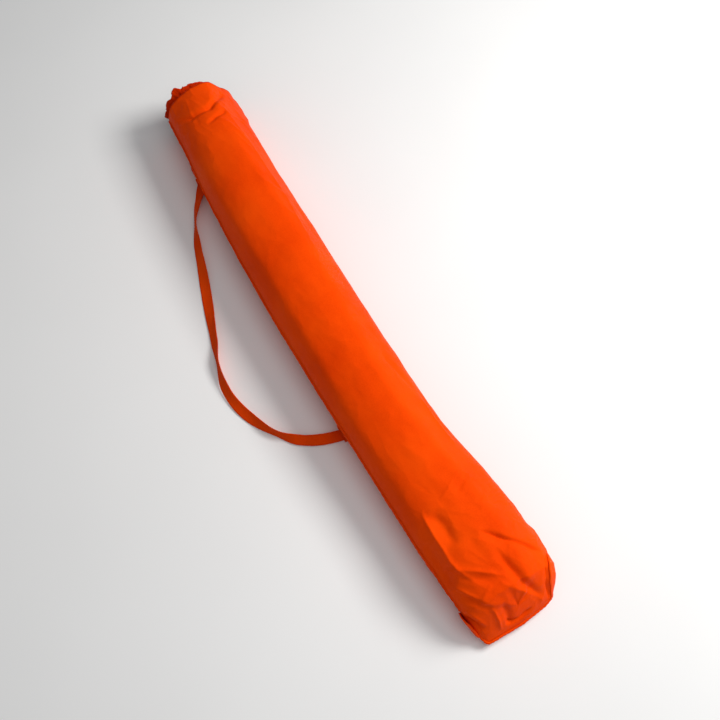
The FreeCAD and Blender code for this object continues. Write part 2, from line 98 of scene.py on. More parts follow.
# the strap's route: its centreline rises where the webbing stands on its edge
STRAP_ROUTE = [
    (0.425, 0.074, 0.003), (0.405, 0.086, 0.006), (0.379, 0.106, 0.010), (0.342, 0.129, 0.009),
    (0.293, 0.147, 0.005), (0.240, 0.161, 0.002), (0.165, 0.184, 0.002), (0.092, 0.205, 0.006),
    (0.046, 0.220, 0.010), (0.005, 0.229, 0.010), (-0.035, 0.226, 0.008), (-0.072, 0.214, 0.005),
    (-0.107, 0.197, 0.006), (-0.139, 0.173, 0.010), (-0.160, 0.145, 0.010), (-0.172, 0.113, 0.007),
    (-0.177, 0.088, 0.004), (-0.179, 0.074, 0.003),
]
# share of the strap's length, and how far the webbing is rolled about its own line there, in degrees
STRAP_ROLL = [
    (0.00, 3.0), (0.03, 10.0), (0.07, 40.0), (0.145, 74.0), (0.22, 40.0), (0.36, 8.0), (0.50, 45.0),
    (0.565, 75.0), (0.64, 42.0), (0.72, 30.0), (0.82, 75.0), (0.88, 40.0), (0.94, 18.0), (1.00, 5.0),
]

STITCH = 0.0036              # stitch pitch of every seam
CORD = 0.003
CORD_APART = 0.0044
TAIL_ROUTE = [
    (-0.038, 0.058), (-0.048, 0.058), (-0.0555, 0.0505), (-0.057, 0.037), (-0.056, 0.023), (-0.0565, 0.0094),
]


# ---- numbers and grids --------------------------------------------------------------------------
def smooth(t):
    """A smooth step from 0 to 1, for a number or an array."""
    t = np.clip(t, 0.0, 1.0)
    return t * t * (3.0 - 2.0 * t)


def between(value, stops):
    """Smooth steps through a list of (place, value) pairs."""
    for (a, va), (b, vb) in zip(stops, stops[1:]):
        if value <= b:
            return va + (vb - va) * float(smooth((value - a) / (b - a)))
    return stops[-1][1]


def run_lengths(line):
    """Distance along a line of points, at each of them."""
    steps = np.linalg.norm(np.diff(np.array(line), axis=0), axis=1)
    return np.concatenate([[0.0], np.cumsum(steps)])


def points_at(line, places):
    """The points of a line at the given distances along it."""
    line = np.array(line)
    along = run_lengths(line)
    return [Vector([float(np.interp(place, along, line[:, k])) for k in range(3)]) for place in places]


def slope(index, column):
    if index in (0, len(PROFILE) - 1):
        return 0.0
    before, after = PROFILE[index - 1], PROFILE[index + 1]
    return (after[column] - before[column]) / (after[0] - before[0])


def profile_at(x):
    """Half width, underside, top and centre of the section at x: straight over the base, smooth beyond it."""
    x = min(max(x, PROFILE[0][0]), PROFILE[-1][0])
    index = 0
    while x > PROFILE[index + 1][0]:
        index += 1
    start, end = PROFILE[index], PROFILE[index + 1]
    span = end[0] - start[0]
    t = (x - start[0]) / span
    values = []
    for column in range(1, 5):
        rise = end[column] - start[column]
        if rise == 0.0 or start[0] < BASE_X - 0.001:
            values.append(start[column] + rise * t)
            continue
        leaving, arriving = slope(index, column) * span, slope(index + 1, column) * span
        bend = (leaving - rise) * (1.0 - t) - (arriving - rise) * t
        values.append(start[column] + rise * t + t * (1.0 - t) * bend)
    return values


def signed_power(value, power):
    return copysign(abs(value) ** power, value)


def skin(x, angle, lift=0.0):
    """A point of the bag's smooth outside. The angle runs from the +Y side up over the top."""
    half, low, high, centre = profile_at(x)
    half, low, high = half + lift, low - lift, high + lift
    middle = low + WIDEST_SHARE * (high - low)
    turn = radians(angle)
    if 0.0 <= angle <= 180.0:
        power, reach = 2.0 / SIDE_POWER_HIGH, high - middle
    else:
        power = 2.0 / SIDE_POWER_LOW
        reach = (middle - low) / sin(radians(CORNER_ANGLE)) ** power
    y = centre + half * signed_power(cos(turn), power)
    z = middle + reach * signed_power(sin(turn), power)
    return Vector((x, y, max(z, low)))


def section(x):
    """Evenly spaced points round the section at x, from the seam up over the top and back underneath."""
    ring = [skin(x, angle) for angle in range(SEAM_ANGLE, 180 + CORNER_ANGLE, 2)]
    right, left = skin(x, 180 + CORNER_ANGLE), skin(x, -CORNER_ANGLE)
    ring += [right.lerp(left, i / 12.0) for i in range(12)]
    ring += [skin(x, angle) for angle in range(-CORNER_ANGLE, SEAM_ANGLE, 2)]
    ring = np.array(ring + ring[:1])
    along = run_lengths(ring)
    at = np.linspace(0.0, along[-1], COLUMNS + 1)[:-1]
    return np.stack([np.interp(at, along, ring[:, k]) for k in range(3)], axis=1)


def grid_normals(grid):
    """Outward unit normals of a grid of points whose rows follow +X and whose columns go round the bag."""
    across = np.roll(grid, -1, axis=1) - np.roll(grid, 1, axis=1)
    normal = np.cross(np.gradient(grid, axis=0), across)
    normal /= np.maximum(np.linalg.norm(normal, axis=2, keepdims=True), 1e-12)
    return -normal


def at_each_point(grid, value, scales, seed):
    """A function's value at every point of the grid, whose place is stretched by the three scales."""
    places = grid.reshape(-1, 3) * np.array(scales) + (seed, 0.0, 0.0)
    return np.array([value(Vector(place)) for place in places]).reshape(grid.shape[:2])


def ripple(place):
    """Smooth noise from -1 to 1."""
    return noise.fractal(place, 1.0, 2.0, 3)


def crease(place):
    """Pressed creases from 0 to 1: the edges between unlike cells, as in cloth that was once crumpled."""
    near, second = noise.voronoi(place)[0][:2]
    return exp(-(second - near) / 0.09)


def waver(x, y, z):
    """Smooth noise from -1 to 1 for small unevenness."""
    return noise.noise(Vector((x, y, z)))


# ---- mesh building ------------------------------------------------------------------------------
def linked(name, data):
    """A new object of the scene."""
    obj = bpy.data.objects.new(name, data)
    bpy.context.scene.collection.objects.link(obj)
    return obj


def new_object(name, verts, faces, material, uvs=None, is_smooth=True):
    mesh = bpy.data.meshes.new(name)
    mesh.from_pydata([tuple(v) for v in verts], [], faces)
    if uvs is not None:
        layer = mesh.uv_layers.new(name="cloth")
        corner = np.empty(len(mesh.loops), int)
        mesh.loops.foreach_get("vertex_index", corner)
        layer.data.foreach_set("uv", np.array(uvs, float)[corner].ravel())
    mesh.validate()
    mesh.materials.append(material)
    mesh.polygons.foreach_set("use_smooth", [is_smooth] * len(mesh.polygons))
    return linked(name, mesh)


def grid_faces(rows, columns, closed, start=0):
    """Quads of a grid of points, whose last column joins the first when it is closed."""
    faces = []
    for i in range(rows - 1):
        for j in range(columns if closed else columns - 1):
            k = (j + 1) % columns
            a, b = start + i * columns, start + (i + 1) * columns
            faces.append((a + j, b + j, b + k, a + k))
    return faces


def grid_object(name, grid, material, thickness, side=-1.0, closed=False):
    """A sheet of cloth from a grid of points. Its thickness lies on one side of them, or on both for 0."""
    grid = np.array(grid)
    rows, columns = grid.shape[:2]
    wrapped = np.concatenate([grid, grid[:, :1]], axis=1) if closed else grid
    step = np.linalg.norm(np.diff(wrapped, axis=1), axis=2)
    across = np.concatenate([np.zeros((rows, 1)), np.cumsum(step, axis=1)], axis=1)[:, :columns]
    uvs = np.stack([grid[:, :, 0], across], axis=2).reshape(-1, 2)
    obj = new_object(name, grid.reshape(-1, 3), grid_faces(rows, columns, closed), material, uvs)
    shell = obj.modifiers.new("thickness", "SOLIDIFY")
    shell.thickness, shell.offset = thickness, side
    return obj


def ahead_at(line, i):
    """Direction of a line of points at one of them."""
    return (line[min(i + 1, len(line) - 1)] - line[max(i - 1, 0)]).normalized()


def swept(line, sides, up, radius_at):
    """Rings of points round a line, whose radius is a function of the point's number and the turn."""
    verts = []
    for i, p in enumerate(line):
        ahead = ahead_at(line, i)
        side = ahead.cross(up).normalized()
        up = side.cross(ahead)
        for j in range(sides):
            turn = tau * j / sides
            size = radius_at(i, turn)
            verts.append(p + side * (size * cos(turn)) + up * (size * sin(turn)))
    return verts


def tube_faces(rings, sides, start=0):
    """Faces of a tube made of rings of points, with both of its ends closed."""
    faces = grid_faces(rings, sides, True, start)
    faces.append(tuple(start + j for j in range(sides)))
    faces.append(tuple(start + (rings - 1) * sides + j for j in reversed(range(sides))))
    return faces


def tube_mesh(lines, radius, sides):
    """Vertices and faces of round-ended threads that follow the given lines."""
    verts, faces = [], []
    for line in lines:
        ends = (0, len(line) - 1)
        faces += tube_faces(len(line), sides, len(verts))
        up = (line[1] - line[0]).orthogonal().normalized()
        verts += swept(line, sides, up, lambda i, turn: radius * (0.55 if i in ends else 1.0))
    return verts, faces


def sewing(name, lines, radius, slot_name):
    """Stitches of sewing thread in the bag, as one piece."""
    verts, faces = tube_mesh(lines, radius, 6)
    thread = new_object(name, verts, faces, THREAD, [(v[0], v[1] + v[2]) for v in verts])
    placed(thread, "bag", slot_name)
    return thread


def spline_points(route):
    """Points along the smooth NURBS spline whose control points are the route's."""
    curve = bpy.data.curves.new("route", "CURVE")
    curve.dimensions = "3D"
    curve.resolution_u = 12
    spline = curve.splines.new("NURBS")
    spline.points.add(len(route) - 1)
    for point, place in zip(spline.points, route):
        point.co = (*place, 1.0)
    spline.order_u = 3
    spline.use_endpoint_u = True
    carrier = bpy.data.objects.new("route", curve)
    mesh = bpy.data.meshes.new_from_object(carrier)
    points = [v.co.copy() for v in mesh.vertices]
    bpy.data.meshes.remove(mesh)
    bpy.data.curves.remove(curve)
    return points


# ---- materials ----------------------------------------------------------------------------------
def node(tree, kind, **inputs):
    made = tree.nodes.new(kind)
    for name, value in inputs.items():
        socket = made.inputs[name.replace("_", " ")]
        if isinstance(value, bpy.types.NodeSocket):
            tree.links.new(value, socket)
        else:
            socket.default_value = value
    return made


def math_node(tree, operation, first, second=0.0):
    made = tree.nodes.new("ShaderNodeMath")
    made.operation = operation
    for socket, value in zip(made.inputs, (first, second)):
        if isinstance(value, bpy.types.NodeSocket):
            tree.links.new(value, socket)
        else:
            socket.default_value = value
    return made.outputs[0]


def shader(name):
    material = bpy.data.materials.new(name)
    material.use_nodes = True
    return material, material.node_tree, material.node_tree.nodes["Principled BSDF"]


def ramp(tree, factor, stops):
    made = node(tree, "ShaderNodeValToRGB", Fac=factor)
    elements = made.color_ramp.elements
    while len(elements) < len(stops):
        elements.new(0.5)
    for element, (place, colour) in zip(elements, stops):
        element.position = place
        element.color = (*colour, 1.0)
    return made.outputs["Color"]


def object_place(tree):
    return node(tree, "ShaderNodeTexCoord").outputs["Object"]


def speckle(tree, place, scale, detail, roughness=0.5):
    """Noise from 0 to 1, by a place in metres."""
    made = node(tree, "ShaderNodeTexNoise", Vector=place, Scale=scale, Detail=detail, Roughness=roughness)
    return made.outputs["Fac"]


def finished(tree, bsdf, colour, grain, spread, roughness, bump):
    """Joins up a material's colour, its roughness, which varies with the grain, and its relief."""
    rough = math_node(tree, "ADD", math_node(tree, "MULTIPLY", grain, spread), roughness - spread / 2.0)
    for value, socket in ((colour, "Base Color"), (rough, "Roughness"), (bump.outputs["Normal"], "Normal")):
        tree.links.new(value, bsdf.inputs[socket])


CLOTH_IOR = 1.09             # low, so that the cloth doesn't turn pale where it is seen at a grazing angle
SHEEN_TINT = (1.0, 0.42, 0.16)


def woven(name, dark, plain, light, pitch, roughness, weave_height):
    """Plain-woven cloth: threads from its UV map in metres, blotches and fine wrinkles from its position."""
    material, tree, bsdf = shader(name)
    uv = node(tree, "ShaderNodeUVMap")
    uv.uv_map = "cloth"
    split = node(tree, "ShaderNodeSeparateXYZ", Vector=uv.outputs["UV"])
    wave = tau / pitch
    warp = math_node(tree, "SINE", math_node(tree, "MULTIPLY", split.outputs["X"], wave))
    weft = math_node(tree, "SINE", math_node(tree, "MULTIPLY", split.outputs["Y"], wave))
    threads = math_node(tree, "MULTIPLY", warp, weft)
    place = object_place(tree)
    grain = speckle(tree, place, 420.0, 3.0, 0.7)
    blotch = math_node(tree, "MULTIPLY", speckle(tree, place, 9.0, 4.0, 0.55), 0.65)
    tone = math_node(tree, "ADD", math_node(tree, "MULTIPLY", grain, 0.35), blotch)
    colour = ramp(tree, tone, [(0.30, dark), (0.50, plain), (0.72, light)])
    crinkle = speckle(tree, place, 70.0, 5.0, 0.6)
    soft = node(tree, "ShaderNodeBump", Strength=0.25, Distance=0.0012, Height=crinkle).outputs["Normal"]
    fine = node(tree, "ShaderNodeBump", Strength=0.5, Distance=weave_height, Height=threads, Normal=soft)
    finished(tree, bsdf, colour, grain, 0.12, roughness, fine)
    bsdf.inputs["IOR"].default_value = CLOTH_IOR
    bsdf.inputs["Specular Tint"].default_value = (*SHEEN_TINT, 1.0)
    return material


def moulded(name, colour, roughness):
    """Injection-moulded plastic with a fine spark-eroded grain and slightly worn, paler patches."""
    material, tree, bsdf = shader(name)
    place = object_place(tree)
    grain = speckle(tree, place, 1500.0, 2.0)
    patches = speckle(tree, place, 35.0, 5.0, 0.65)
    pale = tuple(min(1.0, c * 1.5 + 0.012) for c in colour)
    dark = tuple(c * 0.75 for c in colour)
    worn = ramp(tree, patches, [(0.3, dark), (0.5, colour), (0.75, pale)])
    bump = node(tree, "ShaderNodeBump", Strength=0.25, Distance=0.0001, Height=grain)
    finished(tree, bsdf, worn, patches, 0.2, roughness, bump)
    return material


def brushed(name, colour, roughness, stretch):
    """Metal with drawing or turning lines: noise stretched along one axis of the object."""
    material, tree, bsdf = shader(name)
    place = object_place(tree)
    stretched = node(tree, "ShaderNodeMapping", Vector=place, Scale=stretch).outputs["Vector"]
    lines = speckle(tree, stretched, 900.0, 3.0)
    dark = tuple(c * 0.72 for c in colour)
    stained = ramp(tree, speckle(tree, place, 22.0, 4.0, 0.6), [(0.28, dark), (0.55, colour)])
    bump = node(tree, "ShaderNodeBump", Strength=0.2, Distance=0.00006, Height=lines)
    finished(tree, bsdf, stained, lines, 0.22, roughness, bump)
    bsdf.inputs["Metallic"].default_value = 1.0
    return material


def plain_floor():
    material, tree, bsdf = shader("studio_floor")
    mottle = speckle(tree, object_place(tree), 2.0, 3.0)
    pale = ramp(tree, mottle, [(0.3, (0.84, 0.84, 0.84)), (0.7, (0.87, 0.87, 0.87))])
    tree.links.new(pale, bsdf.inputs["Base Color"])
    bsdf.inputs["Roughness"].default_value = 0.85
    bsdf.inputs["Specular IOR Level"].default_value = 0.1
    return material


# name, the dark, plain and light colour, thread pitch, roughness, and height of the weave
NYLON = woven(
    "orange_nylon", (0.80, 0.046, 0.0008), (0.90, 0.062, 0.0012), (0.97, 0.082, 0.002), 0.0009, 0.42, 0.0001)
# the mouth's gathers: the orange nylon painted darker, as painted shade for the shadow in the bunched cloth
SHADED_GATHER_NYLON = woven(
    "gathered_nylon_painted_shade", (0.44, 0.016, 0.0006), (0.56, 0.026, 0.001), (0.72, 0.042, 0.0015), 0.0009, 0.5, 0.0001)
TAPE = woven(
    "orange_webbing", (0.66, 0.04, 0.0015), (0.80, 0.058, 0.0022), (0.88, 0.078, 0.004), 0.0016, 0.55, 0.0003)
THREAD = woven(
    "orange_thread", (0.50, 0.026, 0.001), (0.62, 0.038, 0.0015), (0.72, 0.050, 0.002), 0.0008, 0.6, 0.0001)
SOCK = woven(
    "sock_nylon", (0.80, 0.075, 0.004), (0.88, 0.105, 0.007), (0.95, 0.135, 0.012), 0.0009, 0.5, 0.0001)
BLACK_TAPE = woven(
    "black_tape", (0.012, 0.012, 0.014), (0.022, 0.022, 0.025), (0.04, 0.04, 0.045), 0.0014, 0.65, 0.0003)
ROPE = woven(
    "orange_cord", (0.48, 0.026, 0.001), (0.62, 0.040, 0.0015), (0.74, 0.056, 0.002), 0.0010, 0.6, 0.0003)
BLACK = moulded("black_moulding", (0.020, 0.020, 0.022), 0.42)
WHITE = moulded("white_acetal", (0.74, 0.74, 0.71), 0.38)
ALUMINIUM = brushed("drawn_aluminium", (0.76, 0.77, 0.79), 0.34, (0.02, 1.0, 1.0))
STEEL = brushed("turned_steel", (0.58, 0.58, 0.60), 0.32, (1.0, 0.06, 0.06))

SLOT_MATERIAL = {
    "bag_nylon": NYLON, "strap_webbing": TAPE, "cord": ROPE, "black_plastic": BLACK, "white_plastic": WHITE,
    "tube_aluminium": ALUMINIUM, "steel": STEEL, "sock_nylon": SOCK, "tie_tape": BLACK_TAPE,
}


def dress_frame():
    """Every CAD node gets the procedural material of its slot."""
    for part in frame["record"]["subparts"]:
        mesh = frame["nodes"][part["node"]].data
        mesh.materials.clear()
        mesh.materials.append(SLOT_MATERIAL[part["material_slot"]])


def placed(obj, body, slot_name, *nodes):
    """Ties a piece to its body and lets it stand for its CAD nodes; the slot name is not used."""
    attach(obj, body)
    if nodes:
        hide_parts(*nodes)


# ---- the bag's cloth ----------------------------------------------------------------------------
# Folds of the cloth: a route of (x in mm, angle) points on the bag, the height (a hollow is negative) and the
# width in mm, and whether it is soft, crisp like a pressed edge, or a step down towards its left side.
FOLDS = [
    # far end: hollows that fan out from the drawn mouth, and short light pulls beside them
    ([(524, 138), (510, 126), (480, 92), (484, 58), (512, 20)], -7.5, 5.6, "soft"),
    ([(466, 114), (460, 108), (452, 88), (450, 78)], -4.2, 4, "soft"),
    ([(460, 88), (452, 96), (432, 108), (404, 118), (368, 124)], 2.2, 2.6, "crisp"),
    ([(464, 110), (456, 118), (440, 142), (430, 150)], 1.8, 2.4, "crisp"),
    ([(410, 105), (400, 110), (368, 120), (350, 125)], 1.7, 2.4, "crisp"),
    ([(470, 66), (472, 58), (496, 12)], 1.6, 3.2, "crisp"),
    # the long edge between the top and the flatter facet beside it
    ([(532, 146), (518, 141), (468, 114), (380, 126), (268, 132), (92, 122)], 2, 4, "crisp"),
    ([(500, 152), (450, 142), (380, 148), (268, 152), (100, 144)], -2, 12, "soft"),
    # middle: long pulls along the shoulder of the bag, and short ones that cross it
    ([(310, 104), (285, 110), (255, 130), (200, 137)], 1.4, 2.8, "crisp"),
    ([(240, 105), (215, 116), (190, 127)], 1.2, 2.6, "crisp"),
    ([(300, 118), (265, 128), (235, 141)], -1.4, 5, "soft"),
    ([(-110, 124), (-150, 133), (-200, 142)], -2, 5.5, "soft"),
    ([(-205, 142), (-262, 142), (-310, 141)], 2, 3, "crisp"),
    ([(-190, 150), (-250, 150), (-305, 149)], -2, 5.5, "soft"),
    # towards the base: faint pulls across the top
    ([(-350, 112), (-371, 90), (-380, 76)], 1.3, 2.6, "crisp"),
    ([(-362, 120), (-383, 94)], -1.2, 3.6, "soft"),
    ([(-395, 136), (-416, 108)], 1.3, 2.6, "crisp"),
    # base: the pressed edge that runs into the right-hand corner, and the slit under that corner's fold
    ([(-450, 91), (-460, 98), (-478, 108), (-494, 122), (-510, 136), (-524, 150)], -4.8, 5, "step"),
    ([(-453, 90), (-463, 97), (-481, 107), (-497, 121), (-512, 135), (-524, 148)], -3, 2.2, "crisp"),
    ([(-526, 156), (-534, 147), (-548, 138), (-568, 137), (-580, 149), (-588, 162)], -4.5, 1.8, "crisp"),
    # base: the hollow that runs down to the sewn edge, and the ridges that meet over it
    ([(-486, 92), (-498, 94), (-524, 96), (-552, 102), (-572, 118), (-582, 130)], -6.2, 7.5, "soft"),
    ([(-528, 80), (-540, 84), (-560, 100), (-580, 128), (-588, 142)], 3.4, 3.6, "crisp"),
    ([(-464, 16), (-474, 28), (-486, 50), (-502, 66), (-518, 80), (-532, 90)], 2.8, 2.8, "crisp"),
    ([(-494, 42), (-512, 62), (-528, 78)], -2.4, 6.5, "soft"),
    ([(-504, 28), (-514, 36), (-532, 46), (-550, 58), (-558, 64)], 2.7, 2.6, "crisp"),
    ([(-520, 30), (-540, 45), (-558, 56)], -2.8, 5.5, "soft"),
    ([(-529, 72), (-534, 62), (-543, 50)], 1.8, 2.2, "crisp"),
    ([(-556, 57), (-564, 60), (-576, 62), (-590, 62)], 3, 2.6, "crisp"),
    ([(-558, 72), (-574, 76), (-591, 80)], -3.8, 6, "soft"),
    ([(-583, 70), (-589, 84), (-590, 96), (-585, 112)], -6, 3.4, "soft"),
    # base, left-hand side: a diamond-shaped hollow, the ridge beside it, and the hollow in the dark flank
    ([(-388, 60), (-422, 63), (-454, 60)], -5, 10.5, "soft"),
    ([(-376, 53), (-388, 50), (-422, 48), (-445, 48), (-470, 46), (-496, 51), (-512, 58)], 4, 3.2, "crisp"),
    ([(-424, 30), (-445, 26), (-474, 26), (-504, 20)], -5.6, 12.5, "soft"),
    ([(-545, 6), (-562, 18), (-578, 30)], -4, 6, "soft"),
    ([(-540, 20), (-556, 30), (-576, 42)], 2.6, 3, "crisp"),
    # the sides that the strap hides and the back: pulls towards the corners of the base and the mouth
    ([(-470, 176), (-500, 170), (-530, 168)], 3, 4, "crisp"),
    ([(-440, 200), (-480, 190), (-525, 182)], -4.5, 10, "soft"),
    ([(-440, -14), (-480, -8), (-525, -2)], -4, 9, "soft"),
    ([(535, 178), (500, 172), (450, 168)], 2.6, 4, "crisp"),
    ([(530, 195), (490, 190), (440, 186)], -3, 8, "soft"),
    ([(530, -20), (495, -15), (450, -12)], -3, 8, "soft"),
]


def fold_field(grid, normal, route, height, width, kind):
    """How far one fold lifts each point of the cloth, tapering away at the route's two ends."""
    stops = np.array([skin(x, angle) for x, angle in route])
    lengths = np.linalg.norm(np.diff(stops, axis=0), axis=1)
    total, done = lengths.sum(), 0.0
    best = np.full(grid.shape[:2], 1e9)
    share = np.zeros(grid.shape[:2])
    side = np.zeros(grid.shape[:2])
    for a, b, length in zip(stops, stops[1:], lengths):
        run = b - a
        t = np.clip(((grid - a) @ run) / length ** 2, 0.0, 1.0)
        away = grid - (a + t[..., None] * run)
        distance = np.linalg.norm(away, axis=2)
        nearer = distance < best
        best = np.where(nearer, distance, best)
        share = np.where(nearer, (done + t * length) / total, share)
        side = np.where(nearer, np.sign((np.cross(run, away) * normal).sum(axis=2)), side)
        done += length
    taper = np.sqrt(smooth(share / 0.3) * smooth((1.0 - share) / 0.3))
    if kind == "soft":
        return height * taper * np.exp(-(best / width) ** 2)
    if kind == "crisp":
        return height * taper * np.exp(-np.sqrt((best / width) ** 2 + 0.06) + 0.245)
    step = 0.5 * (1.0 - side * (1.0 - np.exp(-best / 0.0018)))
    return height * taper * step * np.exp(-best / (width * 3.0))


def bag_rows():
    """The x of each row of cloth points, closest together over the base and its folds."""
    places = [
        (PROFILE[0][0], -0.360, 0.0017), (-0.360, 0.340, 0.0042), (0.340, RIM_X, 0.0022),
    ]
    rows = []
    for low, high, step in places:
        count = int(round((high - low) / step))
        rows += [low + (high - low) * i / count for i in range(count)]
    return rows + [RIM_X]


def bag_grid():
    rows = bag_rows()
    grid = np.array([section(x) for x in rows])
    normal = grid_normals(grid)
    lift = np.zeros(grid.shape[:2])
    for route, height, width, kind in FOLDS:
        metres = [(x / 1000.0, angle) for x, angle in route]
        lift += fold_field(grid, normal, metres, height / 1000.0, width / 1000.0, kind)
    # long facets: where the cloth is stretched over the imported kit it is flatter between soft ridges
    x = grid[:, :, 0]
    centre = np.array([profile_at(row)[3] for row in rows])[:, None]
    turn = np.degrees(np.arctan2(grid[:, :, 2] - 0.055, grid[:, :, 1] - centre))
    ridge = 112.0 + 7.0 * np.sin(x * 9.0 + 0.6) + 12.0 * smooth((-0.15 - x) / 0.2)
    lift += 0.0022 * np.exp(-((turn - ridge) / 11.0) ** 2)
    lift -= 0.0018 * np.exp(-((turn - ridge - 26.0) / 13.0) ** 2)
    lift -= 0.0016 * np.exp(-((turn - 70.0 - 6.0 * np.sin(x * 7.0)) / 16.0) ** 2)
    lift += 0.0015 * np.exp(-((turn - 38.0 - 8.0 * np.sin(x * 6.0 + 1.0)) / 10.0) ** 2)
    # the drawn mouth pulls one side of the rim flat
    lift -= 0.0070 * np.exp(-((turn - 135.0) / 24.0) ** 2) * smooth((x - 0.40) / 0.13)
    # wrinkles: soft waves and pressed creases, stronger at the base and the mouth than between them
    base = smooth((-0.33 - x) / 0.14)
    mouth = smooth((x - 0.36) / 0.14)
    broad = at_each_point(grid, ripple, (17.0, 21.0, 21.0), 3.0)
    slanted = at_each_point(grid @ SLANT, ripple, (14.0, 46.0, 30.0), 11.0)
    crumple = at_each_point(grid @ SLANT, crease, (22.0, 40.0, 40.0), 0.0)
    lift += broad * (0.0008 + 0.0007 * base + 0.0006 * mouth)
    lift += slanted * (0.0005 + 0.0001 * base + 0.0004 * mouth)
    lift += crumple * (0.0003 + 0.0003 * base + 0.0005 * mouth)
    # the underside rests on the floor, and the sewn end is held by its seam
    rest = smooth(grid[:, :, 2] / 0.012)
    held = smooth((x - rows[0]) / 0.012)
    grid = grid + normal * (lift * rest * held)[..., None]
    grid[:, :, 2] = np.maximum(grid[:, :, 2], 0.0003)
    return grid


def bag_cloth():
    grid = bag_grid()
    cloth = grid_object("bag_cloth", grid, NYLON, CLOTH, side=1.0, closed=True)
    placed(cloth, "bag", "bag_nylon", "bag_body", "bag_base")
    return grid


# ---- stage --------------------------------------------------------------------------------------
def area_light(name, place, target, size, power, colour=(1.0, 1.0, 1.0)):
    data = bpy.data.lights.new(name, "AREA")
    data.shape = "RECTANGLE"
    data.size, data.size_y = size
    data.energy = power
    data.color = colour
    light = linked(name, data)
    light.location = place
    light.rotation_euler = (Vector(target) - Vector(place)).to_track_quat("-Z", "Y").to_euler()


def stage():
    corners = [(-6, -6, 0), (6, -6, 0), (6, 6, 0), (-6, 6, 0)]
    floor = new_object("floor", corners, [(0, 1, 2, 3)], plain_floor(), is_smooth=False)
    world = bpy.data.worlds.new("studio")
    bpy.context.scene.world = world
    world.use_nodes = True
    background = world.node_tree.nodes["Background"]
    background.inputs["Color"].default_value = (0.96, 0.98, 1.0, 1.0)
    background.inputs["Strength"].default_value = 0.24
    area_light("key", (-0.40, -1.60, 1.60), (0.0, 0.0, 0.05), (1.0, 0.8), 47.0, (1.0, 0.985, 0.96))
    area_light("overhead", (-0.8, -0.2, 2.2), (0.0, 0.0, 0.0), (1.8, 1.4), 13.0)
    bpy.context.scene.view_settings.view_transform = "Standard"


def camera():
    """Looks down steeply along the bag from beyond its base, on the strap's side."""
    azimuth, elevation, distance = radians(-119.0), radians(66.0), 1.579
    target = Vector((-0.085, 0.0, 0.05))
    level = cos(elevation)
    back = Vector((sin(azimuth) * level, -cos(azimuth) * level, sin(elevation)))
    data = bpy.data.cameras.new("camera")
    data.lens, data.sensor_width = 45.0, 36.0
    made = linked("camera", data)
    made.location = target + back * distance
    made.rotation_euler = (-back).to_track_quat("-Z", "Y").to_euler()
    bpy.context.scene.camera = made


# ---- the shoulder strap -------------------------------------------------------------------------
def band_section():
    """Corner points of the strap's section, slightly thicker along its two folded and stitched edges."""
    half, hem = STRAP_WIDTH / 2.0, 0.0026
    edge = [(half - 0.0004, 0.35), (half - 0.0012, 1.0), (half - hem, 1.0), (half - hem - 0.001, 0.72),
            (half * 0.35, 0.62)]
    top = [(-across, level) for across, level in edge] + [(0.0, 0.60)] + edge[::-1]
    upper = [(across, level * STRAP_THICK / 2.0) for across, level in top]
    lower = [(across, -level) for across, level in reversed(upper)]
    return [(-half, 0.0)] + upper + [(half, 0.0)] + lower


def strap_frames(points):
    """Centre, sideways and upward direction of the webbing at each point of its line."""
    along = run_lengths(points)
    frames = []
    for i, p in enumerate(points):
        ahead = ahead_at(points, i)
        side = UP.cross(ahead).normalized()
        up = ahead.cross(side)
        turn = radians(between(along[i] / along[-1], STRAP_ROLL))
        across = side * cos(turn) + up * sin(turn)
        thick = ahead.cross(across)
        reach = abs(across.z) * STRAP_WIDTH / 2.0 + abs(thick.z) * STRAP_THICK / 2.0 + 0.0004
        centre = Vector((p.x, p.y, max(p.z, reach)))
        frames.append((centre, across, thick, along[i]))
    return frames


def place_on(frames, along, place, side, height):
    """A point of the strap at a distance along it, off its middle by side and height."""
    i = min(max(int(np.searchsorted(along, place)), 1), len(frames) - 1)
    t = float((along[i] - place) / max(along[i] - along[i - 1], 1e-9))
    centre, across, up = (frames[i][k].lerp(frames[i - 1][k], t) for k in range(3))
    return centre + across * side + up * height


def shoulder_strap():
    frames = strap_frames(spline_points(STRAP_ROUTE))
    shape = band_section()
    verts, uvs = [], []
    for centre, across, up, along in frames:
        pucker = 0.00035 * waver(along * 120.0, 2.0, 0.0)
        for side, height in shape:
            uneven = 0.0003 * waver(along * 60.0, side * 90.0, 5.0)
            verts.append(centre + across * (side + pucker) + up * (height + uneven))
            uvs.append((along, side + (STRAP_WIDTH if height < 0 else 0.0)))
    strap = new_object("webbing_strap", verts, tube_faces(len(frames), len(shape)), TAPE, uvs)
    along = np.array([f[3] for f in frames])
    stitches = []
    for k in range(int(along[-1] / STITCH) - 1):
        start = STITCH * (k + 0.5)
        for side in (-STRAP_WIDTH / 2 + 0.0016, STRAP_WIDTH / 2 - 0.0016):
            for face in (1.0, -1.0):
                height = face * STRAP_THICK / 2.0
                stitches.append([
                    place_on(frames, along, start + STITCH * share, side, height + face * rise)
                    for share, rise in ((0.0, 0.0), (0.35, 0.00018), (0.7, 0.0))])
    placed(strap, "bag", "strap_webbing", "shoulder_strap")
    thread = sewing("strap_stitching", stitches, 0.0003, "strap_webbing")


